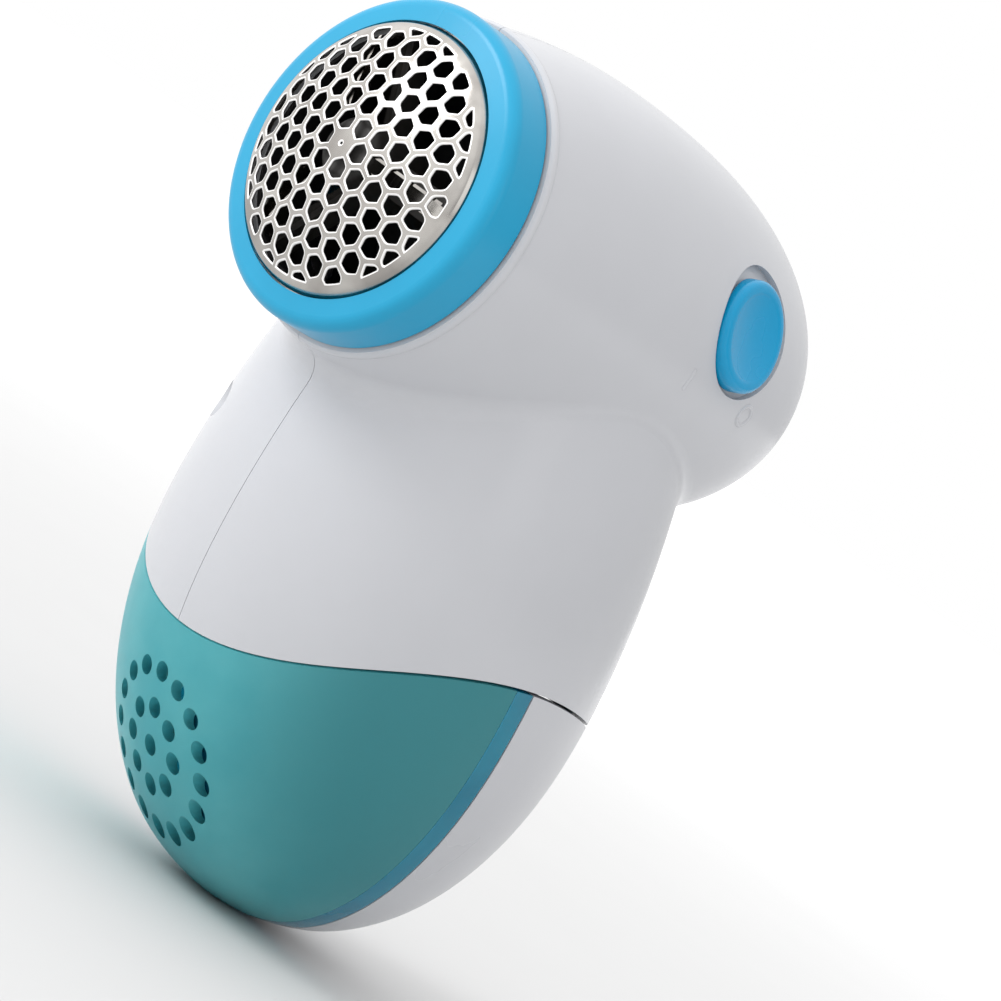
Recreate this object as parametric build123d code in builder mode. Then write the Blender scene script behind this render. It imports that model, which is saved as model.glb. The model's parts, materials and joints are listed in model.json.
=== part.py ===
"""Battery fabric shaver: an egg-shaped barrel with a shaving head, on an egg-shaped handle.

Frame: millimetres, +Z up, -Y out through the foil, +X the side with the switch.
The origin is on the barrel's axis, in the middle of the head ring's outer wall.
"""

import os
from math import atan, cos, degrees, pi, radians, sin, sqrt

from build123d import *

os.makedirs("parts", exist_ok=True)

# ---- driving dimensions -------------------------------------------------------------------
WALL = 2.0  # housing wall
SKIN = 1.8  # wall of the lint bin and the battery door
GAP = 0.3  # clearance between bodies that move apart
SEAM = 0.05  # half of the joint line between the two housing halves

# Barrel: an egg of revolution about Y
BARREL_FRONT_Y = 2.9
BARREL_FRONT_R = 24.0
BARREL_WIDE_Y = 31.4
BARREL_R = 27.8
BARREL_END_Y = 86.2
BARREL_POWERS = (2.48, 2.235)

# Handle: a flattened egg that hangs below the barrel and leans back
HANDLE_Y = 39.2
HANDLE_LEAN = 0.13
HANDLE_HALF_X = 32.1
HANDLE_HALF_Y = 35.3
HANDLE_WIDE_DEPTH = 51.2
HANDLE_DEPTH = 97.4
HANDLE_NECKING = 0.255
HANDLE_POWERS = (2.06, 2.21)
CREASE_R = 4.0

# Line where the housing ends and the bin and door begin: depth is a cubic in y
CUT_Y = 41.6
CUT_REACH = 27.9
CUT_TERMS = (47.5, -5.3, 9.2, -2.9)
CUT_GAP = 0.45

# Plane between the bin and the door, which leans back like the battery cells
SPLIT_Y = 45.6
SPLIT_DEPTH = 46.5
SPLIT_SLOPE = 0.1725
BIN_BAND = 3.3  # width of the clear band round the bin's back
VENT_DEPTH = 82.0
VENT_R = 1.3
VENT_RINGS = [(4.9, 8), (9.8, 16)]

# Shaving head
FOIL_R = 19.5
FOIL_TOP_R = 19.0
FOIL_RIM_Y = -4.9
FOIL_STEP = 0.8  # how far the dome's edge stands in front of the ring
FOIL_RISE = 4.2
FOIL_SHEET = 0.3
FOIL_FLANGE_R = 21.0
HOLE_PITCH = 3.48
HOLE_R = 1.45
HOLE_FIELD_R = 18.1
RING_R = 23.5
RING_FRONT_Y = -4.5
RING_BACK_Y = 2.5
NECK_R = 21.7
NECK_BORE_R = 18.8
NECK_FRONT_Y = -3.35
LINER_BACK_Y = 21.5

# Cutter
BLADE_INNER_R = 4.9
BLADE_OUTER_R = 17.2
BLADE_WIDTH = 2.6
BLADE_SHEET = 0.4
BLADE_BACK_Y = -1.4
BLADE_TURN = -2  # angle of the first blade from +X
HUB_R = 4.6
SPINDLE_R = 2.6
SHAFT_R = 1.0

# Motor
MOTOR_R = 12.0
MOTOR_FRONT_Y = 24.6
MOTOR_LENGTH = 27.0
MOTOR_CAN = 0.9
BULKHEAD_Y = 22.0
BULKHEAD_THICK = 1.8

# Battery cells, size AA
CELL_R = 7.15
CELL_LENGTH = 50.5
NUB_LENGTH = 1.2
NUB_R = 2.75
CELL_X = 7.6
CELL_Y = 9.4
CELL_BASE = -42.6
SPRING_LENGTH = 2.0

# Switch
SWITCH_Y = 49.9
SWITCH_ANGLE = 19.2
SWITCH_TRAVEL = 2.0
BUTTON_R = 7.8
BUTTON_PROUD = 0.8
DISH_R = 5.9
DISH_DEPTH = 0.8
POCKET_R = 9.25
POCKET_SHIFT = (1.0, 0.8)
POCKET_DEPTH = 1.1

# Screws: (y, z) of the four bosses across the housing
SCREW_PLACES = [(28, 19), (70, 2), (57, -24), (17, -38)]
SCREW_HEAD_R = 2.6
SCREW_SHANK_R = 1.4
SCREW_HEAD_X = -8.0
SCREW_TIP_X = 7.0
BOSS_R = 3.4

# ---- derived ------------------------------------------------------------------------------
DOME_R = (FOIL_TOP_R**2 + FOIL_RISE**2) / (2 * FOIL_RISE)
DOME_Y = FOIL_RIM_Y - FOIL_STEP - FOIL_RISE + DOME_R
LEAN = degrees(atan(SPLIT_SLOPE))
BAY = Plane(
    origin=(0, SPLIT_Y, -SPLIT_DEPTH),
    x_dir=(1, 0, 0),
    z_dir=(0, -sin(radians(LEAN)), cos(radians(LEAN))),
)  # x across, y back from the split plane, z up along the cells
ROOM = 200  # larger than the object, for cutting tools


def save(builder, label):
    builder.part.label = label
    export_step(builder.part, f"parts/{label}.step")


# ---- outer forms --------------------------------------------------------------------------
def barrel_radius(y):
    """Radius of the barrel at y."""
    rise, fall = BARREL_POWERS
    if y < BARREL_WIDE_Y:
        reach = (BARREL_WIDE_Y - y) / (BARREL_WIDE_Y - BARREL_FRONT_Y)
        return BARREL_R - (BARREL_R - BARREL_FRONT_R) * reach**2
    reach = (y - BARREL_WIDE_Y) / (BARREL_END_Y - BARREL_WIDE_Y)
    return BARREL_R * max(0, 1 - reach**rise) ** (1 / fall)


def handle_scale(depth):
    """Width of the handle at a depth below the barrel's axis, as a share of its widest."""
    if depth < HANDLE_WIDE_DEPTH:
        return 1 - HANDLE_NECKING * (1 - depth / HANDLE_WIDE_DEPTH) ** 2
    reach = (depth - HANDLE_WIDE_DEPTH) / (HANDLE_DEPTH - HANDLE_WIDE_DEPTH)
    return max(0, 1 - reach ** HANDLE_POWERS[0]) ** (1 / HANDLE_POWERS[1])


def cut_depth(y):
    """Depth of the housing's lower edge at y."""
    reach = (y - CUT_Y) / CUT_REACH
    return sum(term * reach**power for power, term in enumerate(CUT_TERMS))


def barrel_form(inset=0.0):
    """Solid of revolution of the barrel, with its skin moved in by inset."""
    front = [BARREL_FRONT_Y + (BARREL_WIDE_Y - BARREL_FRONT_Y) * k / 4 for k in range(4)]
    rear = [BARREL_WIDE_Y + (BARREL_END_Y - BARREL_WIDE_Y) * sin(pi / 2 * k / 9) for k in range(9)]
    shorten = (BARREL_END_Y - inset - BARREL_FRONT_Y) / (BARREL_END_Y - BARREL_FRONT_Y)
    narrow = (BARREL_R - inset) / BARREL_R
    points = [
        (BARREL_FRONT_Y + (y - BARREL_FRONT_Y) * shorten, barrel_radius(y) * narrow)
        for y in front + rear
    ]
    with BuildPart() as form:
        with BuildSketch(Plane.YZ):
            with BuildLine():
                skin = Spline(*points, (BARREL_END_Y - inset, 0), tangents=[(1, 0.26), (0, -1)])
                Polyline(skin @ 1, (BARREL_FRONT_Y, 0), skin @ 0)
            make_face()
        revolve(axis=Axis.Y)
    return form.part


def handle_form(inset=0.0):
    """Solid of the handle, with its skin moved in by inset."""
    upper = [HANDLE_WIDE_DEPTH * k / 4 for k in range(4)]
    lower = [
        HANDLE_WIDE_DEPTH + (HANDLE_DEPTH - HANDLE_WIDE_DEPTH) * sin(pi / 2 * k / 8)
        for k in range(8)
    ]
    shorten = (HANDLE_DEPTH - inset) / HANDLE_DEPTH
    half_x = HANDLE_HALF_X - inset
    points = [(handle_scale(depth) * half_x, -depth * shorten) for depth in upper + lower]
    with BuildPart() as form:
        with BuildSketch(Plane.XZ):
            with BuildLine():
                skin = Spline(*points, (0, inset - HANDLE_DEPTH), tangents=[(0.35, -1), (-1, 0)])
                Polyline(skin @ 1, (0, 0), skin @ 0)
            make_face()
        revolve(axis=Axis.Z)
    deepen = (HANDLE_HALF_Y - inset) / half_x
    leaning = Matrix(
        [[1, 0, 0, 0], [0, deepen, -HANDLE_LEAN, HANDLE_Y], [0, 0, 1, 0], [0, 0, 0, 1]]
    )
    return form.part.transform_geometry(leaning)


def body_form(inset=0.0):
    """Barrel and handle joined; on the outer skin the crease between them is rounded."""
    with BuildPart() as form:
        add(barrel_form(inset))
        add(handle_form(inset))
        if inset == 0:
            crease = form.edges().filter_by(GeomType.BSPLINE)
            fillet(crease.sort_by(lambda edge: edge.bounding_box().size.X)[-1], CREASE_R)
    return form.part


def below_cut(drop=0.0):
    """Everything below the housing's lower edge, moved down by drop."""
    ys = [CUT_Y + CUT_REACH * k / 4 for k in range(-6, 9, 2)]
    with BuildPart() as form:
        with BuildSketch(Plane.YZ):
            with BuildLine():
                edge = Spline(*[(y, -cut_depth(y) - drop) for y in ys])
                Polyline(edge @ 1, ((edge @ 1).X, -ROOM), ((edge @ 0).X, -ROOM), edge @ 0)
            make_face()
        extrude(amount=ROOM / 2, both=True)
    return form.part


def dome_y(radius, sheet=0.0):
    """Where the foil's dome lies at a radius, with its skin moved in by sheet."""
    return DOME_Y - sqrt((DOME_R - sheet) ** 2 - radius**2)


def slab(y_from, y_to):
    """Slab of the battery bay's frame between two distances behind the split plane."""
    with BuildPart() as form:
        with BuildSketch(BAY):
            with Locations((0, (y_from + y_to) / 2)):
                Rectangle(ROOM, y_to - y_from)
        extrude(amount=ROOM, both=True)
    return form.part


outer = body_form()
lower = below_cut(CUT_GAP)

# ---- switch frame: x back along the barrel, z out of its skin ------------------------------
slope = barrel_radius(SWITCH_Y + 0.1) - barrel_radius(SWITCH_Y - 0.1)
fall = atan(-slope / 0.2)
around = radians(SWITCH_ANGLE)
SWITCH = Plane(
    origin=(
        barrel_radius(SWITCH_Y) * cos(around),
        SWITCH_Y,
        barrel_radius(SWITCH_Y) * sin(around),
    ),
    x_dir=(-sin(fall) * cos(around), cos(fall), -sin(fall) * sin(around)),
    z_dir=(cos(fall) * cos(around), sin(fall), cos(fall) * sin(around)),
)


def switch_box(x, y, z, size):
    """Box in the switch's frame, centred at x, y, with its base at z."""
    with BuildPart() as form:
        with BuildSketch(SWITCH.offset(z)):
            with Locations((x, y)):
                Rectangle(size[0], size[1])
        extrude(amount=size[2])
    return form.part


# ---- housing ------------------------------------------------------------------------------
with BuildPart() as cavity:
    add(body_form(WALL))
    with BuildSketch(Plane.XZ.offset(-BARREL_FRONT_Y - WALL)):
        Circle(ROOM / 2)
    extrude(amount=ROOM / 2, mode=Mode.SUBTRACT)
    with BuildSketch(Plane.XZ.offset(-BARREL_FRONT_Y - WALL)):
        Circle(NECK_BORE_R)
    extrude(amount=ROOM / 2)

with BuildPart() as pocket:
    with BuildSketch(SWITCH.offset(-8)):
        with Locations(POCKET_SHIFT):
            Circle(POCKET_R)
    extrude(amount=16)
    add(barrel_form(POCKET_DEPTH), mode=Mode.SUBTRACT)

with BuildPart() as inner_ribs:
    for rib_y in (MOTOR_FRONT_Y + 5, MOTOR_FRONT_Y + 13):
        with BuildSketch(Plane.XZ.offset(-rib_y)):
            Circle(BARREL_R)
            with Locations((0, -ROOM / 2 - MOTOR_R - 3)):
                Rectangle(ROOM, ROOM, mode=Mode.SUBTRACT)
            Circle(MOTOR_R + 0.1, mode=Mode.SUBTRACT)
        extrude(amount=-1.6)
    with BuildSketch(Plane.YZ.offset(-ROOM / 2)):
        with Locations(*SCREW_PLACES):
            Circle(BOSS_R)
    extrude(amount=ROOM)
    with BuildSketch(Plane.YZ):
        with Locations(*SCREW_PLACES):
            Circle(SCREW_SHANK_R + 0.05)
    extrude(amount=SCREW_TIP_X + 1, mode=Mode.SUBTRACT)
    with BuildSketch(Plane.YZ):
        with Locations(*SCREW_PLACES):
            Circle(SCREW_SHANK_R + 0.2)
    extrude(amount=SCREW_HEAD_X - 1, mode=Mode.SUBTRACT)
    for side in (-1, 1):
        post = switch_box(side * 9.8, 0, -9.5, (2, 5, 9))
        add(post)
    add(body_form(WALL / 2), mode=Mode.INTERSECT)

with BuildPart() as casing:
    add(outer)
    with BuildSketch(Plane.XZ.offset(-BARREL_FRONT_Y)):
        Circle(NECK_R)
    extrude(amount=BARREL_FRONT_Y - NECK_FRONT_Y)
    with BuildSketch(Plane.YZ):
        with Locations((BARREL_FRONT_Y + 0.9, BARREL_FRONT_R - 0.4)):
            Circle(0.9)
    revolve(axis=Axis.Y)
    add(cavity.part, mode=Mode.SUBTRACT)
    add(inner_ribs.part)
    add(below_cut(), mode=Mode.SUBTRACT)
    add(pocket.part, mode=Mode.SUBTRACT)
    slot = switch_box(SWITCH_TRAVEL / 2, 0, -6, (5.6 + SWITCH_TRAVEL, 5.6, 8))
    add(slot, mode=Mode.SUBTRACT)

with BuildPart() as shell_right:
    add(casing.part)
    split(bisect_by=Plane.YZ.offset(SEAM), keep=Keep.TOP)
save(shell_right, "shell_right")

with BuildPart() as shell_left:
    add(casing.part)
    split(bisect_by=Plane.YZ.offset(-SEAM), keep=Keep.BOTTOM)
    with BuildSketch(Plane.YZ.offset(SCREW_HEAD_X)):
        with Locations(*SCREW_PLACES):
            Circle(SCREW_HEAD_R + 0.3)
    extrude(amount=-ROOM / 4, mode=Mode.SUBTRACT)
save(shell_left, "shell_left")

with BuildPart() as shell_screws:
    with BuildSketch(Plane.YZ.offset(SCREW_HEAD_X)):
        with Locations(*SCREW_PLACES):
            Circle(SCREW_HEAD_R)
    extrude(amount=-2)
    with BuildSketch(Plane.YZ.offset(SCREW_HEAD_X - 2)):
        with Locations(*SCREW_PLACES):
            Rectangle(3.4, 0.7)
            Rectangle(0.7, 3.4)
    extrude(amount=1.2, mode=Mode.SUBTRACT)
    with BuildSketch(Plane.YZ.offset(SCREW_HEAD_X)):
        with Locations(*SCREW_PLACES):
            Circle(SCREW_SHANK_R)
    extrude(amount=SCREW_TIP_X - SCREW_HEAD_X)
save(shell_screws, "shell_screws")

# ---- shaving head -------------------------------------------------------------------------
with BuildPart() as head_ring:
    with BuildSketch(Plane.YZ):
        with BuildLine():
            Polyline(
                (FOIL_RIM_Y, FOIL_R + 0.15),
                (RING_FRONT_Y, RING_R - 1.2),
                (RING_FRONT_Y + 0.1, RING_R),
                (RING_BACK_Y, RING_R),
                (RING_BACK_Y, NECK_R + 0.5),
                (NECK_FRONT_Y, NECK_R + 0.5),
                (NECK_FRONT_Y, FOIL_FLANGE_R + 0.2),
                (FOIL_RIM_Y + 0.9, FOIL_FLANGE_R + 0.2),
                (FOIL_RIM_Y + 0.9, FOIL_R + 0.15),
                close=True,
            )
        make_face()
    revolve(axis=Axis.Y)
    front_edge = head_ring.edges().filter_by(GeomType.CIRCLE).sort_by(SortBy.RADIUS)
    fillet(front_edge.filter_by(lambda edge: edge.radius > RING_R - 0.1).sort_by(Axis.Y)[0], 1.9)
save(head_ring, "head_ring")

with BuildPart() as foil:
    with BuildSketch(Plane.YZ):
        with BuildLine():
            skirt_y = FOIL_RIM_Y + 0.9
            inner_r = FOIL_R - FOIL_SHEET
            inner_top_r = FOIL_TOP_R - FOIL_SHEET
            ThreePointArc(
                (dome_y(0), 0),
                (dome_y(FOIL_TOP_R / 2), FOIL_TOP_R / 2),
                (dome_y(FOIL_TOP_R), FOIL_TOP_R),
            )
            Polyline(
                (dome_y(FOIL_TOP_R), FOIL_TOP_R),
                (FOIL_RIM_Y + 0.3, FOIL_R),
                (skirt_y, FOIL_R),
                (skirt_y, FOIL_FLANGE_R),
                (skirt_y + FOIL_SHEET, FOIL_FLANGE_R),
                (skirt_y + FOIL_SHEET, inner_r),
                (FOIL_RIM_Y + 0.3, inner_r),
                (dome_y(inner_top_r, FOIL_SHEET), inner_top_r),
            )
            ThreePointArc(
                (dome_y(inner_top_r, FOIL_SHEET), inner_top_r),
                (dome_y(inner_top_r / 2, FOIL_SHEET), inner_top_r / 2),
                (dome_y(0, FOIL_SHEET), 0),
            )
            Line((dome_y(0, FOIL_SHEET), 0), (dome_y(0), 0))
        make_face()
    revolve(axis=Axis.Y)
    rims = foil.edges().filter_by(GeomType.CIRCLE)
    fillet(rims.filter_by(lambda edge: abs(edge.radius - FOIL_TOP_R) < 0.01), 0.4)
    rows = range(-7, 8)
    hole_places = [
        (HOLE_PITCH * (column + (row % 2) / 2), HOLE_PITCH * sqrt(3) / 2 * row)
        for row in rows
        for column in range(-7, 8)
    ]
    hole_places = [
        (x, z) for x, z in hole_places if HOLE_R < sqrt(x * x + z * z) < HOLE_FIELD_R + 0.5
    ]
    with BuildSketch(Plane.XZ.offset(-FOIL_RIM_Y)):
        with Locations(*hole_places):
            RegularPolygon(HOLE_R, 6, rotation=30)
        Circle(HOLE_FIELD_R, mode=Mode.INTERSECT)
    extrude(amount=FOIL_STEP + FOIL_RISE + 2, mode=Mode.SUBTRACT)
save(foil, "foil")

with BuildPart() as chamber_liner:
    with BuildSketch(Plane.XZ.offset(-LINER_BACK_Y)):
        Circle(NECK_BORE_R - 0.1)
        Circle(NECK_BORE_R - 0.7, mode=Mode.SUBTRACT)
    extrude(amount=LINER_BACK_Y - NECK_FRONT_Y)
    with BuildSketch(Plane.XY.offset(-ROOM / 4)):
        with Locations((0, (BARREL_FRONT_Y + 4 + LINER_BACK_Y) / 2)):
            Rectangle(26, LINER_BACK_Y - BARREL_FRONT_Y - 4)
    extrude(amount=ROOM / 4, mode=Mode.SUBTRACT)
save(chamber_liner, "chamber_liner")

# ---- cutter -------------------------------------------------------------------------------
def arms(back_y, thick, length, width):
    """Three bars at 120 degrees, from back_y towards the foil."""
    with BuildPart() as form:
        with BuildSketch(Plane.XZ.offset(-back_y)):
            with PolarLocations(0, 3, start_angle=BLADE_TURN):
                with Locations(((length[0] + length[1]) / 2, 0)):
                    Rectangle(length[1] - length[0], width)
        extrude(amount=thick)
    return form.part


ARM_BACK_Y = 0.6
HUB_BACK_Y = 8.0

with BuildPart() as under_foil:
    with Locations((0, DOME_Y, 0)):
        Sphere(DOME_R - FOIL_SHEET - GAP)

with BuildPart() as cutter_blades:
    add(arms(BLADE_BACK_Y, 12, (BLADE_INNER_R, BLADE_OUTER_R), BLADE_WIDTH))
    channel_reach = (BLADE_INNER_R - 2, BLADE_OUTER_R + 2)
    channel = arms(BLADE_BACK_Y - 0.6, 12, channel_reach, BLADE_WIDTH - 2 * BLADE_SHEET)
    add(channel, mode=Mode.SUBTRACT)
    add(under_foil.part, mode=Mode.INTERSECT)
save(cutter_blades, "cutter_blades")

with BuildPart() as cutter_hub:
    with BuildSketch(Plane.XZ.offset(-HUB_BACK_Y)):
        Circle(HUB_R)
    extrude(amount=16.6)
    fillet(cutter_hub.edges().sort_by(Axis.Y)[0], 1.2)
    add(arms(ARM_BACK_Y, ARM_BACK_Y - BLADE_BACK_Y + 1.6, (HUB_R - 1, BLADE_OUTER_R + 0.4), 4.6))
    add(arms(BLADE_BACK_Y, 12, (BLADE_INNER_R, BLADE_OUTER_R + 2), BLADE_WIDTH), mode=Mode.SUBTRACT)
    with BuildSketch(Plane.XZ.offset(-HUB_BACK_Y)):
        RegularPolygon(SPINDLE_R + 0.1, 6, major_radius=False)
    extrude(amount=HUB_BACK_Y + 4, mode=Mode.SUBTRACT)
save(cutter_hub, "cutter_hub")

SPINDLE_BACK_Y = 20.0
with BuildPart() as drive_spindle:
    with BuildSketch(Plane.XZ.offset(-SPINDLE_BACK_Y)):
        RegularPolygon(SPINDLE_R, 6, major_radius=False)
    extrude(amount=SPINDLE_BACK_Y)
    with BuildSketch(Plane.XZ.offset(-SPINDLE_BACK_Y)):
        Circle(SPINDLE_R + 1.4)
    extrude(amount=2)
    with BuildSketch(Plane.XZ.offset(-SPINDLE_BACK_Y)):
        Circle(SHAFT_R)
    extrude(amount=SPINDLE_BACK_Y - 8, mode=Mode.SUBTRACT)
save(drive_spindle, "drive_spindle")


def coil(centre, radius, length, turns, wire):
    """Closed spring: a wire wound round local z, from the plane's origin up."""
    with BuildPart() as spring:
        with BuildLine():
            path = Helix(length / turns, length, radius)
        with BuildSketch(Plane(origin=path @ 0, z_dir=path % 0)):
            Circle(wire / 2)
        sweep(path=path)
    return spring.part.moved(centre.location)


with BuildPart() as cutter_spring:
    add(coil(Plane.XZ.offset(0.25), 1.9, 3.4, 4, 0.35))
save(cutter_spring, "cutter_spring")

# ---- motor --------------------------------------------------------------------------------
MOTOR_BACK_Y = MOTOR_FRONT_Y + MOTOR_LENGTH
with BuildPart() as motor_can:
    with BuildSketch(Plane.XZ.offset(-MOTOR_BACK_Y + 2)):
        Circle(MOTOR_R)
    extrude(amount=MOTOR_LENGTH - 2)
    fillet(motor_can.edges().sort_by(Axis.Y)[0], 1.0)
    with BuildSketch(Plane.XZ.offset(-MOTOR_BACK_Y + 2)):
        Circle(MOTOR_R - MOTOR_CAN)
    extrude(amount=MOTOR_LENGTH - 2 - MOTOR_CAN, mode=Mode.SUBTRACT)
    with BuildSketch(Plane.XZ.offset(-MOTOR_FRONT_Y - MOTOR_CAN)):
        Circle(3.2)
    extrude(amount=MOTOR_CAN + 1.5)
    with BuildSketch(Plane.XZ.offset(-MOTOR_BACK_Y)):
        Circle(2.2)
    extrude(amount=ROOM / 4, mode=Mode.SUBTRACT)
save(motor_can, "motor_can")

with BuildPart() as motor_bushes:
    for bush_y in (MOTOR_FRONT_Y + MOTOR_CAN, MOTOR_BACK_Y - 0.2):
        with BuildSketch(Plane.XZ.offset(-bush_y)):
            Circle(2.2)
            Circle(SHAFT_R + 0.03, mode=Mode.SUBTRACT)
        extrude(amount=MOTOR_CAN + 1.1)
save(motor_bushes, "motor_bushes")

with BuildPart() as motor_end_cap:
    with BuildSketch(Plane.XZ.offset(-MOTOR_BACK_Y - 0.5)):
        Circle(MOTOR_R - MOTOR_CAN)
    extrude(amount=2.5)
    with BuildSketch(Plane.XZ.offset(-MOTOR_BACK_Y - 0.5)):
        Circle(2.2)
        with Locations((0, 8), (0, -8)):
            Rectangle(2.4, 0.6)
    extrude(amount=ROOM / 4, mode=Mode.SUBTRACT)
save(motor_end_cap, "motor_end_cap")

with BuildPart() as motor_terminals:
    with BuildSketch(Plane.XZ.offset(-MOTOR_BACK_Y - 4)):
        with Locations((0, 8), (0, -8)):
            Rectangle(2.4, 0.6)
    extrude(amount=7)
save(motor_terminals, "motor_terminals")

with BuildPart() as motor_magnets:
    with BuildSketch(Plane.XZ.offset(-MOTOR_BACK_Y + 5)):
        Circle(MOTOR_R - MOTOR_CAN - 0.03)
        Circle(8.6, mode=Mode.SUBTRACT)
        Rectangle(ROOM, 7, mode=Mode.SUBTRACT)
    extrude(amount=MOTOR_LENGTH - 10)
save(motor_magnets, "motor_magnets")

with BuildPart() as motor_shaft:
    with BuildSketch(Plane.XZ.offset(-MOTOR_BACK_Y)):
        Circle(SHAFT_R)
    extrude(amount=MOTOR_BACK_Y - 8.5)
save(motor_shaft, "motor_shaft")

with BuildPart() as motor_armature:
    with BuildSketch(Plane.XZ.offset(-MOTOR_BACK_Y + 6)):
        Circle(8.2)
        with PolarLocations(8.2, 3, start_angle=30):
            Rectangle(6, 1.6, mode=Mode.SUBTRACT)
        Circle(SHAFT_R, mode=Mode.SUBTRACT)
    extrude(amount=MOTOR_LENGTH - 11)
    with BuildSketch(Plane.XZ.offset(-MOTOR_BACK_Y + 3)):
        Circle(2.6)
        Circle(SHAFT_R, mode=Mode.SUBTRACT)
    extrude(amount=3)
save(motor_armature, "motor_armature")

# ---- lint path ----------------------------------------------------------------------------
with BuildPart() as bulkhead:
    front = BULKHEAD_Y
    back = BULKHEAD_Y + BULKHEAD_THICK
    foot_y = SPLIT_Y - 2.6
    with BuildSketch(Plane.YZ):
        Polygon(
            (front, BARREL_R),
            (back, BARREL_R),
            (back, -BARREL_FRONT_R + 2),
            (foot_y + 1.2, -SPLIT_DEPTH + 5),
            (foot_y + 1.2, -SPLIT_DEPTH + 2.5),
            (foot_y - 0.8, -SPLIT_DEPTH + 2.5),
            (front, -BARREL_FRONT_R + 1),
            align=None,
        )
    extrude(amount=ROOM / 4, both=True)
    add(body_form(WALL + 0.15), mode=Mode.INTERSECT)
    with BuildSketch(Plane.XZ.offset(-back)):
        Circle(3.4)
    extrude(amount=ROOM / 4, mode=Mode.SUBTRACT)
    with BuildSketch(Plane.YZ.offset(-ROOM / 4)):
        with Locations(*SCREW_PLACES):
            Circle(BOSS_R + 0.2)
    extrude(amount=ROOM / 2, mode=Mode.SUBTRACT)
save(bulkhead, "bulkhead")

with BuildPart() as lower_skin:
    add(handle_form())
    add(handle_form(SKIN), mode=Mode.SUBTRACT)
    add(lower, mode=Mode.INTERSECT)

with BuildPart() as lint_bin:
    add(lower_skin.part)
    add(slab(-ROOM / 2, -BIN_BAND - 0.05), mode=Mode.INTERSECT)
    with BuildSketch(Plane.XZ.offset(-HANDLE_Y)):
        with Locations((0, -VENT_DEPTH)):
            Circle(VENT_R)
            for ring_r, count in VENT_RINGS:
                with PolarLocations(ring_r, count):
                    Circle(VENT_R)
    extrude(amount=ROOM / 4, mode=Mode.SUBTRACT)
save(lint_bin, "lint_bin")

with BuildPart() as bin_back:
    add(handle_form())
    add(lower, mode=Mode.INTERSECT)
    add(slab(-BIN_BAND, -GAP / 2), mode=Mode.INTERSECT)
    with BuildPart(mode=Mode.PRIVATE) as hollow:
        add(handle_form(SKIN))
        add(slab(-BIN_BAND - 1, -GAP / 2 - 1.5), mode=Mode.INTERSECT)
    add(hollow.part, mode=Mode.SUBTRACT)
save(bin_back, "bin_back")

# ---- battery compartment ------------------------------------------------------------------
def bay_box(x, y, z, size):
    """Box in the battery bay's frame: x is its centre, y its front and z its base."""
    with BuildPart() as form:
        with BuildSketch(BAY.offset(z)):
            with Locations((x, y)):
                Rectangle(size[0], size[1], align=(Align.CENTER, Align.MIN))
        extrude(amount=size[2])
    return form.part


with BuildPart() as battery_door:
    add(lower_skin.part)
    add(slab(GAP / 2, ROOM / 2), mode=Mode.INTERSECT)
save(battery_door, "battery_door")

HOLDER_HALF_X = 16.2
HOLDER_DEEP = 17.0
HOLDER_FLOOR = CELL_BASE - 0.4
CELL_TOP = CELL_BASE + CELL_LENGTH + SPRING_LENGTH
with BuildPart() as battery_holder:
    add(bay_box(0, GAP, HOLDER_FLOOR - 1.5, (2 * HOLDER_HALF_X, HOLDER_DEEP, CELL_TOP - HOLDER_FLOOR + 3.5)))
    hollow_box = bay_box(
        0, GAP + 1.5, HOLDER_FLOOR, (2 * HOLDER_HALF_X - 2, HOLDER_DEEP, CELL_TOP - HOLDER_FLOOR + 0.4)
    )
    add(hollow_box, mode=Mode.SUBTRACT)
    add(handle_form(SKIN + 0.8), mode=Mode.INTERSECT)
save(battery_holder, "battery_holder")

with BuildPart() as battery_cells:
    for side, base, nub in ((-1, CELL_BASE + SPRING_LENGTH, 1), (1, CELL_BASE, -1)):
        body_base = base if nub > 0 else base + NUB_LENGTH
        with BuildSketch(BAY.offset(body_base)):
            with Locations((side * CELL_X, CELL_Y)):
                Circle(CELL_R)
        extrude(amount=CELL_LENGTH - NUB_LENGTH)
        with BuildSketch(BAY.offset(base)):
            with Locations((side * CELL_X, CELL_Y)):
                Circle(NUB_R)
        extrude(amount=CELL_LENGTH)
save(battery_cells, "battery_cells")

with BuildPart() as battery_springs:
    for side, base in ((-1, CELL_BASE), (1, CELL_BASE + CELL_LENGTH)):
        seat = BAY.offset(base + 0.3)
        seat.origin = seat.from_local_coords(Vector(side * CELL_X, CELL_Y, 0))
        add(coil(seat, 3.2, SPRING_LENGTH - 0.6, 2, 0.4))
save(battery_springs, "battery_springs")

with BuildPart() as bridge_plate:
    add(bay_box(0, 3, HOLDER_FLOOR, (27, 12, 0.4)))
    add(handle_form(SKIN + 1.6), mode=Mode.INTERSECT)
save(bridge_plate, "bridge_plate")

with BuildPart() as contact_plates:
    for side in (-1, 1):
        add(bay_box(side * CELL_X, 4, CELL_TOP, (11, 11, 0.4)))
save(contact_plates, "contact_plates")

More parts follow.
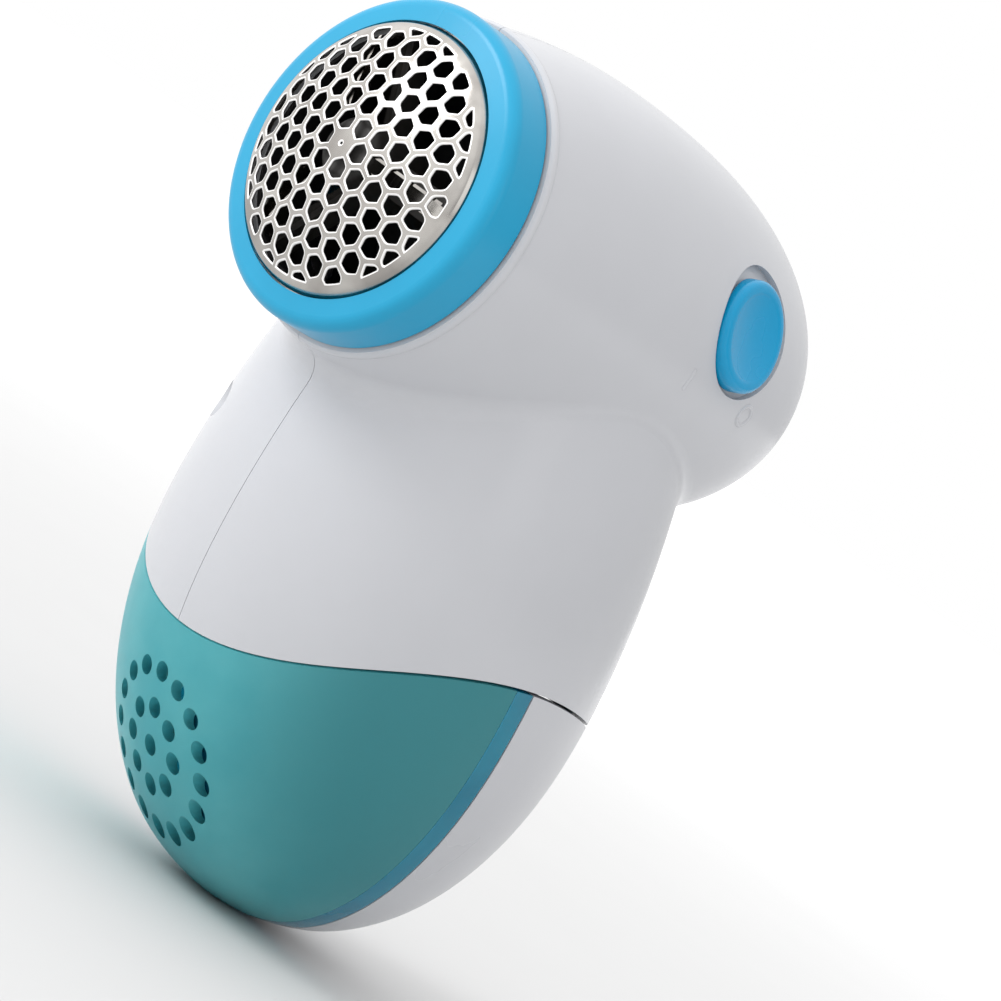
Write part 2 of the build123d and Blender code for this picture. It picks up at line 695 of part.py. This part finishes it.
# ---- switch -------------------------------------------------------------------------------
with BuildPart() as switch_button:
    section = Plane(origin=SWITCH.origin, x_dir=SWITCH.x_dir, z_dir=-SWITCH.y_dir)
    with BuildSketch(section):
        with BuildLine():
            rim_edge = BUTTON_R - 1.0
            ThreePointArc(
                (0, BUTTON_PROUD - DISH_DEPTH),
                (DISH_R / 2, BUTTON_PROUD - DISH_DEPTH * 0.76),
                (DISH_R, BUTTON_PROUD - 0.12),
            )
            Spline(
                (DISH_R, BUTTON_PROUD - 0.12),
                (DISH_R + 0.35, BUTTON_PROUD),
                (rim_edge, BUTTON_PROUD),
            )
            TangentArc((rim_edge, BUTTON_PROUD), (BUTTON_R, BUTTON_PROUD - 1.0), tangent=(1, 0))
            Polyline(
                (BUTTON_R, BUTTON_PROUD - 1.0),
                (BUTTON_R, -5),
                (0, -5),
                (0, BUTTON_PROUD - DISH_DEPTH),
            )
        make_face()
    revolve(axis=Axis(SWITCH.origin, SWITCH.z_dir))
    add(barrel_form(POCKET_DEPTH - 0.6), mode=Mode.SUBTRACT)
    add(switch_box(0, 0, -3.0, (5, 5, 2.9)))
save(switch_button, "switch_button")

with BuildPart() as switch_carriage:
    add(switch_box(0, 0, -4.3, (10, 10, 1.3)))
    add(switch_box(0, 0, -6.8, (2, 2, 2.5)))
save(switch_carriage, "switch_carriage")

with BuildPart() as switch_body:
    add(switch_box(0, 0, -10.5, (17, 6, 4.5)))
    add(switch_box(SWITCH_TRAVEL / 2, 0, -7.5, (3 + SWITCH_TRAVEL, 2.6, 3)), mode=Mode.SUBTRACT)
save(switch_body, "switch_body")

with BuildPart() as switch_terminals:
    for along in (-5, 0, 5):
        add(switch_box(along, 0, -12.5, (0.6, 2.4, 2)))
save(switch_terminals, "switch_terminals")
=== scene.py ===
import json
from math import cos, hypot, pi, radians, sin, sqrt, tan

import bmesh
import bpy
from mathutils import Matrix, Vector
from mathutils.bvhtree import BVHTree
from mathutils.geometry import delaunay_2d_cdt

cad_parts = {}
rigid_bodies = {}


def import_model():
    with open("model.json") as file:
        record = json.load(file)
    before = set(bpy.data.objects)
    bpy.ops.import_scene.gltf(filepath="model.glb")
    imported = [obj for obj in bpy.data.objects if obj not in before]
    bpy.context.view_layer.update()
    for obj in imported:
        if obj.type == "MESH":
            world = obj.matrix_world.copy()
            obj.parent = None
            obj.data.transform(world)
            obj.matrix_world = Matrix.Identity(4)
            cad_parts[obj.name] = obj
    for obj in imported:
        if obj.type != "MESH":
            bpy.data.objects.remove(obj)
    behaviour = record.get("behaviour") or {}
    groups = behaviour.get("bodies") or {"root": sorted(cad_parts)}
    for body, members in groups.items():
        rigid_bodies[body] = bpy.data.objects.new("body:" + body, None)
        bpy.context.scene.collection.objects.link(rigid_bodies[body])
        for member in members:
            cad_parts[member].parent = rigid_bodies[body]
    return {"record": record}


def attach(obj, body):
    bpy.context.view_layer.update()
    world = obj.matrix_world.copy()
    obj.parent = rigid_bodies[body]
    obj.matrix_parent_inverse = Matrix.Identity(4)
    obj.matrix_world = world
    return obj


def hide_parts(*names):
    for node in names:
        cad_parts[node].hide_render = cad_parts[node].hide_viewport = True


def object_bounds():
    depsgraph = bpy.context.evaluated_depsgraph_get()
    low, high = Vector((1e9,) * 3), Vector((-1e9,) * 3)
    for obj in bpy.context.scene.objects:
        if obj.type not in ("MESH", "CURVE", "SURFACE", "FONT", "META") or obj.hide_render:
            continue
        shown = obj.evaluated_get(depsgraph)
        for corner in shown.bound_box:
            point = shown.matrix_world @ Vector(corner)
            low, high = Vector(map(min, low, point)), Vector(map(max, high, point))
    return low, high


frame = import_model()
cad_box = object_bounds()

MM = 0.001

# Foil: dome, skirt and flange have the CAD node's sizes
FOIL_R = 19.5 * MM
FOIL_TOP_R = 19.0 * MM
FOIL_RIM_Y = -4.9 * MM
FOIL_STEP = 0.8 * MM
FOIL_RISE = 4.2 * MM
FOIL_SHEET = 0.3 * MM
FOIL_FLANGE_R = 21.0 * MM
DOME_EDGE_R = 18.6 * MM  # where the holed web ends and the rolled edge starts
DOME_R = (FOIL_TOP_R**2 + FOIL_RISE**2) / (2 * FOIL_RISE)
DOME_Y = FOIL_RIM_Y - FOIL_STEP - FOIL_RISE + DOME_R
RIM_POINTS = 144
SHOULDER = 0.3 * MM  # from the rim's plane back to where the skirt runs straight
SKIRT = 0.9 * MM  # from the rim's plane back to the flange
ROLLED_EDGE = ((-0.22, -0.07), (-0.08, 0.03), (0.02, 0.16), (0.1, 0.34))  # mm out, mm back
SMOOTH_ANGLE = radians(40)

# Foil holes: hexagons on the CAD node's grid, their corners keen and dull by turns
HOLE_PITCH = 3.48 * MM
HOLE_R = 1.45 * MM
HOLE_FIELD_R = 18.0 * MM
HOLE_OVERHANG = 0.5 * MM  # how far past the field a hole's centre may lie
HOLE_ROWS = 7  # on each side of the middle row
KEEN_CORNER = (1.52 * MM, 0.12 * MM, 3)  # reach from the centre, bend radius, steps of the bend
DULL_CORNER = (1.42 * MM, 0.75 * MM, 6)
DIMPLE_R = 0.22 * MM
DIMPLE_POINTS = 16
LIP_STEPS = (  # widening of the hole, depth below the dome, share of the painted highlight on the lip
    (0.26 * MM, 0, 0),
    (0.22 * MM, 0, 1),
    (0.08 * MM, 0.03 * MM, 1),
    (0, 0.12 * MM, 1),
)

# Marks beside the switch: a ring and a bar, one on each side of their middle
MARKS_Y = 49.57 * MM
MARKS_ANGLE = radians(-1.15)
MARKS_ARC_R = 26 * MM  # radius that turns a distance round the barrel into an angle
MARK_SPREAD = 8.1 * MM
MARK_R = 1.5 * MM
MARK_RING_POINTS = 24
MARK_BAR_STEPS = 4  # on each side of the bar's middle
MARK_WIRE = 0.36 * MM
MARK_SINK = 0.35  # how far the wire's middle lies below the skin, as a share of its radius
CLEAR_OF_SKIN = 40 * MM  # radius outside the barrel, from which the skin is looked for

# Camera, in the object's own frame
AIM = Vector((0, 36.95, -27.9)) * MM
CAMERA_DISTANCE = 558 * MM
CAMERA_AZIMUTH = radians(42.4)
CAMERA_ELEVATION = radians(2.7)
CAMERA_ROLL = radians(33.6)
CAMERA_LENS = 146.1
CAMERA_SENSOR = 36
CAMERA_SHIFT = (0.0678, -0.0517)

# Studio, in metres and watts: the world is brighter towards one side
BRIGHT_SIDE = (-0.5, -0.38, 0.78)
DIM_WORLD = 0.12
BRIGHT_WORLD = 1.5
LIGHT_AIM = (0, 0.04, -0.03)
KEY_PLACE = (-0.4, -0.6, 0.35)
KEY_SIZE = (0.3, 0.3)
KEY_POWER = 2.4
SIDE_PLACE = (0.8, 0.0, 0.25)
SIDE_SIZE = (0.3, 0.5)
SIDE_POWER = 0.35
FLOOR_REACH = 6.0
# Painted shade on the floor: darker round the object, lighter far from it
FLOOR_SHADE_FADE = (0.1, 1.1)  # distances between which the floor's painted shade fades out
FLOOR_SHADE_TONES = (0.66, 0.98)

# Colours
PURE_WHITE = (1, 1, 1, 1)
BODY_WHITE = (0.56, 0.567, 0.595)
RING_BLUE = (0.012, 0.33, 0.56)
BUTTON_BLUE = (0.002, 0.31, 0.58)
BIN_TEALS = ((0.09, 0.53, 0.59), (0.17, 0.66, 0.70))
# painted shade: the bin's deeper teal on its shaded +X side
BIN_SHADE_TEAL = (0.05, 0.34, 0.38, 1)
STRIP_BLUES = ((0.01, 0.38, 0.58), (0.02, 0.46, 0.66))
FOIL_GREYS = ((0.36, 0.34, 0.32), (0.54, 0.52, 0.49))
# painted highlight: the pale tone along the lips of the foil's holes
LIP_HIGHLIGHT_GREY = (0.96, 0.95, 0.94, 1)

# Surfaces
NOISE_SPAN = (0.3, 0.7)  # where nearly all of a noise texture's values lie
TONE_SPAN = (0.35, 0.65)  # where a two-tone ramp starts and ends
BIN_SHADE_TURN = (8 * MM, 27 * MM)  # x between which the bin turns to its deeper teal, painted shade on its shaded +X side
POLISHED = {"bump": 0.05, "grain": 500, "tone": 0.012, "specular": 0.4}
SATIN = {"bump": 0.08, "grain": 700, "tone": 0.03, "specular": 0.35}
FINE_GRAINED = {"bump": 0.12, "tone": 0.015}
ROUGH_GRAINED = {"bump": 0.3}


# ---- materials ----------------------------------------------------------------------------
def new_material(name):
    material = bpy.data.materials.new(name)
    material.use_nodes = True
    nodes = material.node_tree.nodes
    shader = next(node for node in nodes if node.type == "BSDF_PRINCIPLED")
    return material, nodes, material.node_tree.links, shader


def noise(nodes, links, scale, detail=3.0, stretch=(1, 1, 1)):
    """Noise in the object's own coordinates."""
    place = nodes.new("ShaderNodeTexCoord")
    mapping = nodes.new("ShaderNodeMapping")
    mapping.inputs["Scale"].default_value = stretch
    texture = nodes.new("ShaderNodeTexNoise")
    texture.inputs["Scale"].default_value = scale
    texture.inputs["Detail"].default_value = detail
    links.new(place.outputs["Object"], mapping.inputs["Vector"])
    links.new(mapping.outputs["Vector"], texture.inputs["Vector"])
    return texture.outputs["Fac"]


def map_range(nodes, links, source, span, to=(0, 1), smooth=False):
    """Map a value from a span to another, and hold it at the ends."""
    mapped = nodes.new("ShaderNodeMapRange")
    if smooth:
        mapped.interpolation_type = "SMOOTHSTEP"
    mapped.inputs["From Min"].default_value, mapped.inputs["From Max"].default_value = span
    mapped.inputs["To Min"].default_value, mapped.inputs["To Max"].default_value = to
    links.new(source, mapped.inputs["Value"])
    return mapped.outputs["Result"]


def two_tone(nodes, links, source, tones):
    ramp = nodes.new("ShaderNodeValToRGB")
    for element, position, tone in zip(ramp.color_ramp.elements, TONE_SPAN, tones):
        element.position = position
        element.color = (*tone, 1)
    links.new(source, ramp.inputs["Fac"])
    return ramp.outputs["Color"]


def mix_colours(nodes, links, factor, first, second):
    """Blend from a linked colour to a fixed one."""
    mix = nodes.new("ShaderNodeMix")
    mix.data_type = "RGBA"
    links.new(factor, mix.inputs["Factor"])
    links.new(first, mix.inputs["A"])
    mix.inputs["B"].default_value = second
    return mix.outputs["Result"]


def shades(colour, darker, paler):
    """Two tones of one colour."""
    return [tuple(min(1.0, channel * share) for channel in colour) for share in (darker, paler)]


def bumped(nodes, links, shader, source, strength, depth):
    bump = nodes.new("ShaderNodeBump")
    bump.inputs["Strength"].default_value = strength
    bump.inputs["Distance"].default_value = depth
    links.new(source, bump.inputs["Height"])
    links.new(bump.outputs["Normal"], shader.inputs["Normal"])


def plastic(name, colour, roughness, bump=0.15, grain=900, tone=0.05, specular=0.5):
    """Moulded surface: slow colour variation, uneven gloss and a fine grain."""
    material, nodes, links, shader = new_material(name)
    patches = noise(nodes, links, 60)
    fine = noise(nodes, links, grain, 2.0)
    base = two_tone(nodes, links, patches, shades(colour, 1 - tone, 1 + tone))
    links.new(base, shader.inputs["Base Color"])
    gloss = map_range(nodes, links, patches, NOISE_SPAN, (roughness * 0.88, roughness * 1.12))
    links.new(gloss, shader.inputs["Roughness"])
    bumped(nodes, links, shader, fine, bump, 0.02 * MM)
    shader.inputs["Specular IOR Level"].default_value = specular
    return material


def metal(name, colour, roughness, grain):
    """Drawn metal with faint streaks."""
    material, nodes, links, shader = new_material(name)
    streaks = noise(nodes, links, grain, 4.0, stretch=(1, 1, 6))
    cloud = noise(nodes, links, 90)
    links.new(two_tone(nodes, links, cloud, shades(colour, 0.93, 1.05)), shader.inputs["Base Color"])
    gloss = map_range(nodes, links, streaks, NOISE_SPAN, (roughness * 0.7, roughness * 1.4))
    links.new(gloss, shader.inputs["Roughness"])
    shader.inputs["Metallic"].default_value = 1.0
    bumped(nodes, links, shader, streaks, 0.08, 0.01 * MM)
    return material


def foil_look():
    """Bright nickelled steel, with the pressed lips of the holes duller and painted paler, a painted
    highlight along each hole edge.
    """
    material, nodes, links, shader = new_material("foil_steel")
    lip_highlight = nodes.new("ShaderNodeAttribute")
    lip_highlight.attribute_name = "lip_highlight"
    cloud = noise(nodes, links, 120)
    streaks = noise(nodes, links, 700, 4.0)
    web = two_tone(nodes, links, cloud, FOIL_GREYS)
    # painted highlight: pale tone on the hole lips, where the lip mask is set
    base = mix_colours(nodes, links, lip_highlight.outputs["Fac"], web, LIP_HIGHLIGHT_GREY)
    links.new(base, shader.inputs["Base Color"])
    gloss = nodes.new("ShaderNodeMath")
    gloss.operation = "MULTIPLY_ADD"
    links.new(lip_highlight.outputs["Fac"], gloss.inputs[0])
    gloss.inputs[1].default_value = 0.3
    links.new(map_range(nodes, links, streaks, NOISE_SPAN, (0.12, 0.2)), gloss.inputs[2])
    links.new(gloss.outputs["Value"], shader.inputs["Roughness"])
    shader.inputs["Metallic"].default_value = 1.0
    bumped(nodes, links, shader, streaks, 0.05, 0.01 * MM)
    return material


def frosted_bin():
    """Frosted translucent plastic, mottled at random, and deeper in tone towards +X as painted shade
    on its shaded side.
    """
    material, nodes, links, shader = new_material("bin_frosted")
    mottle = noise(nodes, links, 45, 5.0)
    grain = noise(nodes, links, 1500, 2.0)
    teal = two_tone(nodes, links, mottle, BIN_TEALS)
    place = nodes.new("ShaderNodeTexCoord")
    axes = nodes.new("ShaderNodeSeparateXYZ")
    links.new(place.outputs["Object"], axes.inputs["Vector"])
    # painted shade: the bin's colour darkens towards +X, its shaded side
    shaded_side = map_range(nodes, links, axes.outputs["X"], BIN_SHADE_TURN, smooth=True)
    base = mix_colours(nodes, links, shaded_side, teal, BIN_SHADE_TEAL)
    links.new(base, shader.inputs["Base Color"])
    links.new(map_range(nodes, links, mottle, NOISE_SPAN, (0.42, 0.34)), shader.inputs["Roughness"])
    shader.inputs["Transmission Weight"].default_value = 0.4
    shader.inputs["IOR"].default_value = 1.42
    bumped(nodes, links, shader, grain, 0.25, 0.03 * MM)
    return material


def clear_bin():
    """Polished strip of the bin's plastic, bluer and clearer than the frosted wall."""
    material, nodes, links, shader = new_material("bin_clear")
    cloud = noise(nodes, links, 70)
    links.new(two_tone(nodes, links, cloud, STRIP_BLUES), shader.inputs["Base Color"])
    links.new(map_range(nodes, links, cloud, NOISE_SPAN, (0.07, 0.13)), shader.inputs["Roughness"])
    shader.inputs["Transmission Weight"].default_value = 0.55
    shader.inputs["IOR"].default_value = 1.45
    return material


def make_materials():
    """One look for each material slot, told by its name, colour and roughness."""
    return {
        "white_plastic": plastic("white_plastic", BODY_WHITE, 0.22, **POLISHED),
        "door_plastic": plastic("door_plastic", BODY_WHITE, 0.30, **FINE_GRAINED),
        "inner_plastic": plastic("inner_plastic", (0.62, 0.58, 0.50), 0.55, **ROUGH_GRAINED),
        "black_plastic": plastic("black_plastic", (0.012, 0.012, 0.014), 0.5, **ROUGH_GRAINED),
        "hub_plastic": plastic("hub_plastic", (0.03, 0.028, 0.026), 0.5, **ROUGH_GRAINED),
        "ring_plastic": plastic("ring_plastic", RING_BLUE, 0.3, **SATIN),
        "button_plastic": plastic("button_plastic", BUTTON_BLUE, 0.25, **SATIN),
        "bin_frosted": frosted_bin(),
        "bin_clear": clear_bin(),
        "foil_steel": foil_look(),
        "motor_steel": metal("motor_steel", (0.55, 0.55, 0.55), 0.32, grain=250),
        "screw_steel": metal("screw_steel", (0.62, 0.62, 0.62), 0.28, grain=300),
        "bronze": metal("bronze", (0.60, 0.42, 0.22), 0.35, grain=300),
        "magnet": plastic("magnet", (0.035, 0.035, 0.038), 0.6, bump=0.4),
        "cell_jacket": plastic("cell_jacket", (0.03, 0.035, 0.04), 0.3, bump=0.1),
    }


def dress_cad(looks):
    """Give each CAD node the look of its slot."""
    for part in frame["record"]["subparts"]:
        materials = bpy.data.objects[part["node"]].data.materials
        materials.clear()
        materials.append(looks[part["material_slot"]])


# ---- foil ---------------------------------------------------------------------------------
def circle(radius, count):
    angles = [2 * pi * k / count for k in range(count)]
    return [(radius * cos(angle), radius * sin(angle)) for angle in angles]


def dome_y(radius, sheet=0.0):
    """The y of the dome's outer face, or of its inner face when sheet is the thickness."""
    return DOME_Y - sqrt((DOME_R - sheet) ** 2 - radius**2)


def hole_shape(first_corner):
    """Outline of one hole about its centre, from a keen corner at first_corner degrees."""
    corners = []
    for number in range(6):
        angle = radians(first_corner + 60 * number)
        reach, bend, steps = (KEEN_CORNER, DULL_CORNER)[number % 2]
        corners.append((Vector((reach * cos(angle), reach * sin(angle))), bend, steps))
    points = []
    for number, (corner, bend, steps) in enumerate(corners):
        before = (corners[number - 1][0] - corner).normalized()
        after = (corners[(number + 1) % 6][0] - corner).normalized()
        half = before.angle(after) / 2
        centre = corner + (before + after).normalized() * bend / sin(half)
        spoke = corner + before * bend / tan(half) - centre
        turn = pi - 2 * half
        for k in range(steps + 1):
            swing = turn * k / steps
            x = centre.x + spoke.x * cos(swing) - spoke.y * sin(swing)
            z = centre.y + spoke.x * sin(swing) + spoke.y * cos(swing)
            points.append((x, z))
    return points


def cut_by_field(centre, shape, limit):
    """Outline of the hole at centre with everything beyond radius limit cut away.

    Rays from a seat inside what is left stop at the shape or at the limit, whichever is nearer.
    """
    keen_reach = KEEN_CORNER[0]
    reach = hypot(*centre)
    depth = limit - (reach - keen_reach)
    pivot = limit - depth / 2 if depth < 2 * keen_reach else reach
    seat = (centre[0] / reach * pivot, centre[1] / reach * pivot)
    count = len(shape)
    corners = [(centre[0] + x, centre[1] + z) for x, z in shape]
    outline = []
    for ray in circle(1, count):
        along = seat[0] * ray[0] + seat[1] * ray[1]
        best = -along + sqrt(along**2 + limit**2 - pivot**2)
        for k in range(count):
            start, end = corners[k], corners[(k + 1) % count]
            side = (end[0] - start[0], end[1] - start[1])
            gap = (start[0] - seat[0], start[1] - seat[1])
            cross = ray[0] * side[1] - ray[1] * side[0]
            if cross > 0:
                best = min(best, (gap[0] * side[1] - gap[1] * side[0]) / cross)
        outline.append((seat[0] + ray[0] * best, seat[1] + ray[1] * best))
    return outline


def hole_outlines(grow):
    """One outline for each hole of the foil, widened by grow, and the centre dimple."""
    outlines = []
    for row in range(-HOLE_ROWS, HOLE_ROWS + 1):
        for column in range(-HOLE_ROWS, HOLE_ROWS + 1):
            centre = (HOLE_PITCH * (column + (row % 2) / 2), HOLE_PITCH * sqrt(3) / 2 * row)
            reach = hypot(*centre)
            if not HOLE_R < reach < HOLE_FIELD_R + HOLE_OVERHANG:
                continue
            flipped = (column - row // 2) % 2
            shape = []
            for x, z in hole_shape(90 if flipped else 30):
                share = 1 + grow / hypot(x, z)
                shape.append((x * share, z * share))
            if reach + 2 * HOLE_R < HOLE_FIELD_R:
                outlines.append([(centre[0] + x, centre[1] + z) for x, z in shape])
            else:
                outlines.append(cut_by_field(centre, shape, HOLE_FIELD_R + grow))
    outlines.append(circle(DIMPLE_R + grow, DIMPLE_POINTS))
    return outlines


def dome_loop(mesh, outline, sink=0.0, sheet=0.0, highlight_share=0.0):
    """Vertices of an outline laid on the dome."""
    lip_highlight = mesh.verts.layers.float["lip_highlight"]
    corners = [mesh.verts.new((x, dome_y(hypot(x, z), sheet) + sink, z)) for x, z in outline]
    # the share of the painted highlight on the lip is stored on each vertex
    for corner in corners:
        corner[lip_highlight] = highlight_share
    return corners


def bridge(mesh, first, second):
    """Band of faces between two loops of the same length."""
    count = len(first)
    for k in range(count):
        mesh.faces.new((first[k], first[(k + 1) % count], second[(k + 1) % count], second[k]))


def fill_web(mesh, outlines, loops):
    """Triangles between the holes and the rim, whose outline and loop come last."""
    flat, edges, corners, owner = [], [], [], []
    for number, (outline, loop) in enumerate(zip(outlines, loops)):
        start = len(flat)
        count = len(outline)
        flat.extend(Vector(point) for point in outline)
        corners.extend(loop)
        owner.extend([number] * count)
        edges.extend((start + k, start + (k + 1) % count) for k in range(count))
    _, _, faces, origins, _, _ = delaunay_2d_cdt(flat, edges, [], 0, 1e-9)
    rim = len(outlines) - 1
    for face in faces:
        picks = [origins[k][0] for k in face]
        touched = {owner[k] for k in picks}
        if len(touched) > 1 or touched == {rim}:
            mesh.faces.new([corners[k] for k in picks])


def edge_profile():
    """Radius and y of the foil's edge: over the rolled edge, along the flange and back inside."""
    top_y = dome_y(FOIL_TOP_R)
    flange_y = FOIL_RIM_Y + SKIRT
    inner_r = FOIL_R - FOIL_SHEET
    rolled = [(FOIL_TOP_R + out * MM, top_y + back * MM) for out, back in ROLLED_EDGE]
    return [
        *rolled,
        (FOIL_R, FOIL_RIM_Y + SHOULDER),
        (FOIL_R, flange_y),
        (FOIL_FLANGE_R, flange_y),
        (FOIL_FLANGE_R, flange_y + FOIL_SHEET),
        (inner_r, flange_y + FOIL_SHEET),
        (inner_r, FOIL_RIM_Y + SHOULDER),
    ]


def foil_sheet():
    """Perforated dome with rolled hole edges, a rolled outer edge, a skirt and a flange."""
    mesh = bmesh.new()
    mesh.verts.layers.float.new("lip_highlight")
    layers = [
        [dome_loop(mesh, outline, sink, highlight_share=highlight_share) for outline in hole_outlines(grow)]
        for grow, sink, highlight_share in LIP_STEPS
    ]
    inside = hole_outlines(0.0)
    layers.append([dome_loop(mesh, outline, sheet=FOIL_SHEET) for outline in inside])
    for upper_loops, lower_loops in zip(layers, layers[1:]):
        for upper, lower in zip(upper_loops, lower_loops):
            bridge(mesh, upper, lower)
    rim = circle(DOME_EDGE_R, RIM_POINTS)
    rim_top = dome_loop(mesh, rim)
    rim_bottom = dome_loop(mesh, rim, sheet=FOIL_SHEET)
    widest = hole_outlines(LIP_STEPS[0][0])
    fill_web(mesh, [*widest, rim], [*layers[0], rim_top])
    fill_web(mesh, [*inside, rim], [*layers[-1], rim_bottom])

    last_ring = rim_top
    for radius, y in edge_profile():
        ring = [mesh.verts.new((x, y, z)) for x, z in circle(radius, RIM_POINTS)]
        bridge(mesh, last_ring, ring)
        last_ring = ring
    bridge(mesh, last_ring, rim_bottom)
    bmesh.ops.recalc_face_normals(mesh, faces=mesh.faces)
    return mesh


def make_foil(looks):
    mesh = foil_sheet()
    data = bpy.data.meshes.new("foil_sheet")
    mesh.to_mesh(data)
    mesh.free()
    foil = bpy.data.objects.new("foil_sheet", data)
    bpy.context.scene.collection.objects.link(foil)
    data.materials.append(looks["foil_steel"])
    data.shade_smooth()
    data.set_sharp_from_angle(angle=SMOOTH_ANGLE)
    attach(foil, "foil")
    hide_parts("foil")


# ---- marks beside the switch ----------------------------------------------------------------
def surface_of(node):
    mesh = bmesh.new()
    mesh.from_mesh(bpy.data.objects[node].data)
    tree = BVHTree.FromBMesh(mesh)
    mesh.free()
    return tree


def raised_line(name, places, closed, looks):
    """Round wire through the places."""
    curve = bpy.data.curves.new(name, "CURVE")
    curve.dimensions = "3D"
    curve.bevel_depth = MARK_WIRE
    curve.bevel_resolution = 3
    curve.use_fill_caps = True
    line = curve.splines.new("POLY")
    line.points.add(len(places) - 1)
    for point, place in zip(line.points, places):
        point.co = (*place, 1)
    line.use_cyclic_u = closed
    thing = bpy.data.objects.new(name, curve)
    bpy.context.scene.collection.objects.link(thing)
    curve.materials.append(looks["white_plastic"])
    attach(thing, "housing")


def make_marks(looks):
    skin = surface_of("shell_right")

    def on_skin(along, around):
        """Place on the skin, this far along and round the barrel from the marks' middle."""
        angle = MARKS_ANGLE + around / MARKS_ARC_R
        out = Vector((cos(angle), 0, sin(angle)))
        start = Vector((0, MARKS_Y + along, 0)) + out * CLEAR_OF_SKIN
        hit = skin.ray_cast(start, -out)
        return hit[0] - out * MARK_WIRE * MARK_SINK

    round_mark = circle(MARK_R, MARK_RING_POINTS)
    ring = [on_skin(MARK_SPREAD + along, around) for along, around in round_mark]
    steps = range(-MARK_BAR_STEPS, MARK_BAR_STEPS + 1)
    bar = [on_skin(-MARK_SPREAD, MARK_R * (k / MARK_BAR_STEPS)) for k in steps]
    raised_line("mark_off", ring, True, looks)
    raised_line("mark_on", bar, False, looks)


# ---- studio ---------------------------------------------------------------------------------
def make_camera():
    back = Vector(
        (
            sin(CAMERA_AZIMUTH) * cos(CAMERA_ELEVATION),
            -cos(CAMERA_AZIMUTH) * cos(CAMERA_ELEVATION),
            sin(CAMERA_ELEVATION),
        )
    )
    level = Vector((cos(CAMERA_AZIMUTH), sin(CAMERA_AZIMUTH), 0))
    upright = back.cross(level)
    right = level * cos(CAMERA_ROLL) + upright * sin(CAMERA_ROLL)
    up = upright * cos(CAMERA_ROLL) - level * sin(CAMERA_ROLL)
    data = bpy.data.cameras.new("camera")
    data.lens = CAMERA_LENS
    data.sensor_width = CAMERA_SENSOR
    data.shift_x, data.shift_y = CAMERA_SHIFT
    data.clip_start = 10 * MM
    camera = bpy.data.objects.new("camera", data)
    camera.matrix_world = Matrix((right, up, back)).transposed().to_4x4()
    camera.matrix_world.translation = AIM + back * CAMERA_DISTANCE
    bpy.context.scene.collection.objects.link(camera)
    bpy.context.scene.camera = camera


def floor_look():
    """Pale matt floor with painted shade: darker near the object, lighter away from it."""
    material, nodes, links, shader = new_material("floor")
    place = nodes.new("ShaderNodeTexCoord")
    distance = nodes.new("ShaderNodeVectorMath")
    distance.operation = "LENGTH"
    links.new(place.outputs["Object"], distance.inputs[0])
    # painted shade: the floor's colour is darker near the object and fades out with distance
    tone = map_range(nodes, links, distance.outputs["Value"], FLOOR_SHADE_FADE, FLOOR_SHADE_TONES, smooth=True)
    grain = noise(nodes, links, 30)
    grainy = nodes.new("ShaderNodeMath")
    grainy.operation = "MULTIPLY"
    links.new(tone, grainy.inputs[0])
    links.new(map_range(nodes, links, grain, NOISE_SPAN, (0.99, 1.0)), grainy.inputs[1])
    links.new(grainy.outputs["Value"], shader.inputs["Base Color"])
    shader.inputs["Roughness"].default_value = 0.9
    return material


def make_floor():
    low = cad_box[0][2]
    signs = ((-1, -1), (1, -1), (1, 1), (-1, 1))
    corners = [(x * FLOOR_REACH, y * FLOOR_REACH, low) for x, y in signs]
    data = bpy.data.meshes.new("floor")
    data.from_pydata(corners, [], [(0, 1, 2, 3)])
    data.materials.append(floor_look())
    floor = bpy.data.objects.new("floor", data)
    bpy.context.scene.collection.objects.link(floor)


def area_light(name, place, size, power):
    data = bpy.data.lights.new(name, "AREA")
    data.shape = "RECTANGLE"
    data.size, data.size_y = size
    data.energy = power
    light = bpy.data.objects.new(name, data)
    light.location = place
    light.rotation_euler = (Vector(LIGHT_AIM) - Vector(place)).to_track_quat("-Z", "Y").to_euler()
    bpy.context.scene.collection.objects.link(light)


def make_world():
    """Soft light graded from one side to the other, which the camera sees as plain white."""
    world = bpy.data.worlds.new("studio")
    world.use_nodes = True
    nodes, links = world.node_tree.nodes, world.node_tree.links
    place = nodes.new("ShaderNodeTexCoord")
    facing = nodes.new("ShaderNodeVectorMath")
    facing.operation = "DOT_PRODUCT"
    facing.inputs[1].default_value = BRIGHT_SIDE
    links.new(place.outputs["Generated"], facing.inputs[0])
    levels = (DIM_WORLD, BRIGHT_WORLD)
    lit = nodes["Background"]
    lit.inputs["Color"].default_value = PURE_WHITE
    strength = map_range(nodes, links, facing.outputs["Value"], (-1, 1), levels)
    links.new(strength, lit.inputs["Strength"])
    backdrop = nodes.new("ShaderNodeBackground")
    backdrop.inputs["Color"].default_value = PURE_WHITE
    path = nodes.new("ShaderNodeLightPath")
    choose = nodes.new("ShaderNodeMixShader")
    links.new(path.outputs["Is Camera Ray"], choose.inputs["Fac"])
    links.new(lit.outputs["Background"], choose.inputs[1])
    links.new(backdrop.outputs["Background"], choose.inputs[2])
    links.new(choose.outputs["Shader"], nodes["World Output"].inputs["Surface"])
    bpy.context.scene.world = world


def make_studio():
    make_world()
    bpy.context.scene.view_settings.view_transform = "Standard"
    area_light("key", KEY_PLACE, KEY_SIZE, KEY_POWER)
    area_light("side", SIDE_PLACE, SIDE_SIZE, SIDE_POWER)
    make_floor()


looks = make_materials()
dress_cad(looks)
make_foil(looks)
make_marks(looks)
make_camera()
make_studio()
